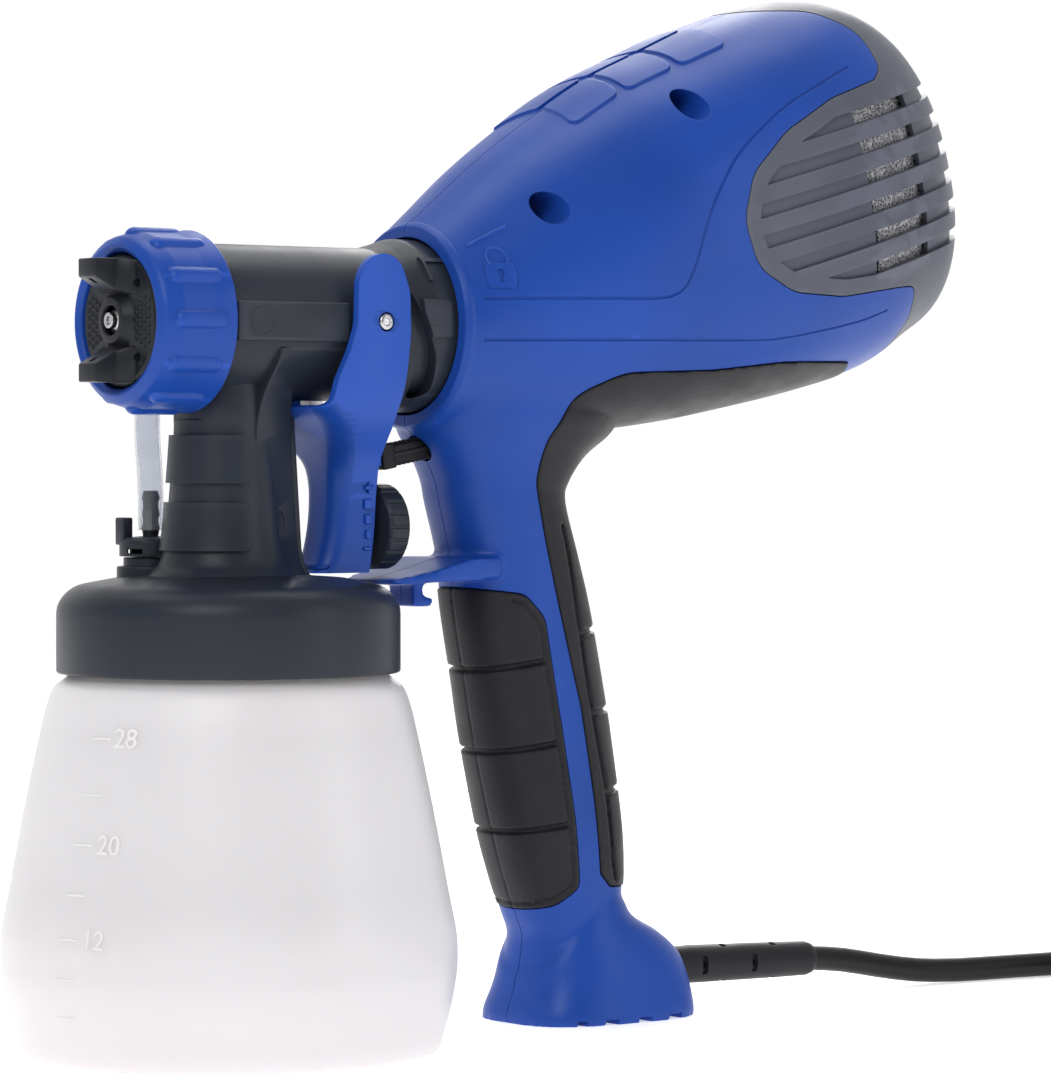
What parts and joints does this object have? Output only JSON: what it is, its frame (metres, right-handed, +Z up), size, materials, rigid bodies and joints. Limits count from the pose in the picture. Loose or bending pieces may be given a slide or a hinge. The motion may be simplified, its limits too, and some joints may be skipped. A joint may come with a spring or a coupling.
{
  "type": "hvlp spray gun",
  "caption": "Hand-held turbine paint sprayer: pistol body with motor and vented rear, trigger, spray head with air cap, and a screw-on paint jar under the lid.",
  "frame": {"origin": "centre of the jar's flat base, on the plane that the gun stands on", "axes": "+Z up, -X the way the nozzle points, y = 0 the plane that divides the gun into its left (-Y) and right halves"},
  "size_m": [0.4572, 0.2011, 0.2914],
  "materials": {
    "blue_plastic": "satin",
    "dark_grey_plastic": "satin",
    "cover_grey_plastic": "satin",
    "grip_rubber": "matte",
    "black_plastic": "matte",
    "cord_sheath": "satin",
    "milky_plastic": "translucent satin",
    "clear_plastic": "clear",
    "steel": "brushed",
    "aluminium": "as pressed",
    "brass": "machined",
    "filter_foam": "open cell"
  },
  "bodies": {
    "gun_body": {"housing_left": "blue_plastic", "housing_right": "blue_plastic", "front_grip": "grip_rubber", "rear_grip": "grip_rubber", "air_filter": "filter_foam", "motor_can": "steel", "motor_mount": "black_plastic", "turbine_casing": "black_plastic", "power_switch": "black_plastic", "plunger_spring": "steel", "housing_screw_1": "steel", "housing_screw_2": "steel", "strain_relief": "grip_rubber", "power_cord": "cord_sheath", "cord_coil": "cord_sheath", "cord_tail": "cord_sheath", "cord_tie": "black_plastic", "plug": "black_plastic", "plug_pin_left": "brass", "plug_pin_right": "brass"},
    "cover": {"rear_cover": "cover_grey_plastic"},
    "rotor": {"motor_shaft": "steel", "impeller_front": "aluminium", "impeller_rear": "aluminium"},
    "plunger": {"switch_plunger": "black_plastic"},
    "head": {"spray_head": "dark_grey_plastic", "fluid_nozzle": "steel", "packing_nut": "brass", "trigger_pin_left": "steel", "trigger_pin_right": "steel", "pickup_tube": "clear_plastic", "air_tube": "clear_plastic", "needle_spring": "steel"},
    "needle_body": {"needle": "steel"},
    "trigger_body": {"trigger": "blue_plastic", "knob_screw": "steel"},
    "knob": {"flow_knob": "dark_grey_plastic"},
    "ring": {"cap_ring": "blue_plastic"},
    "spray_cap": {"air_cap": "dark_grey_plastic"},
    "valve_top": {"valve_cap": "dark_grey_plastic"},
    "valve_flap": {"valve_disc": "grip_rubber"},
    "seal": {"jar_gasket": "grip_rubber"},
    "jar_body": {"jar": "milky_plastic"}
  },
  "joints": [
    {"name": "head_twist", "type": "hinge", "parent": "gun_body", "child": "head", "pos_m": [0, 0, 0.1946], "axis": [1, 0, 0], "range_deg": [0, 45]},
    {"name": "trigger_pull", "type": "hinge", "parent": "head", "child": "trigger_body", "pos_m": [0.0343, 0, 0.1949], "axis": [0, -1, 0], "range_deg": [0, 12], "stiffness_Nm_per_rad": 0.6, "springref_deg": -8.59},
    {"name": "needle_draw", "type": "slide", "parent": "head", "child": "needle_body", "axis": [1, 0, 0], "range_m": [0, 0.0053]},
    {"name": "switch_press", "type": "slide", "parent": "gun_body", "child": "plunger", "axis": [0.9848, 0, 0.1736], "range_m": [0, 0.0078]},
    {"name": "flow_turn", "type": "hinge", "parent": "trigger_body", "child": "knob", "pos_m": [0.0454, 0, 0.1397], "axis": [1, 0, 0], "range_deg": [-180, 180]},
    {"name": "cap_ring_turn", "type": "hinge", "parent": "head", "child": "ring", "pos_m": [0, 0, 0.1946], "axis": [1, 0, 0], "range_deg": [0, 90]},
    {"name": "air_cap_turn", "type": "hinge", "parent": "head", "child": "spray_cap", "pos_m": [0, 0, 0.1946], "axis": [1, 0, 0], "range_deg": [-90, 90]},
    {"name": "valve_cap_turn", "type": "hinge", "parent": "head", "child": "valve_top", "pos_m": [-0.0093, 0.0236, 0.13], "axis": [0, 0, 1], "range_deg": [0, 45]},
    {"name": "valve_lift", "type": "slide", "parent": "head", "child": "valve_flap", "axis": [0, 0, 1], "range_m": [0, 0.001]},
    {"name": "jar_drop", "type": "slide", "parent": "head", "child": "seal", "axis": [0, 0, -1], "range_m": [0, 0.009]},
    {"name": "jar_turn", "type": "hinge", "parent": "seal", "child": "jar_body", "pos_m": [0, 0, 0.1], "axis": [0, 0, 1], "range_deg": [0, 540]},
    {"name": "turbine_spin", "type": "hinge", "parent": "gun_body", "child": "rotor", "pos_m": [0.12, 0, 0.2145], "axis": [0.9703, 0, 0.2419], "continuous": true},
    {"name": "cover_pull", "type": "slide", "parent": "gun_body", "child": "cover", "axis": [0.9659, 0, 0.2588], "range_m": [0, 0.03]}
  ],
  "couplings": [
    {"joint": "needle_draw", "follows": "trigger_pull", "m_per_rad": 0.0249},
    {"joint": "switch_press", "follows": "trigger_pull", "m_per_rad": 0.0363},
    {"joint": "jar_drop", "follows": "jar_turn", "m_per_rad": 0.00095}
  ]
}
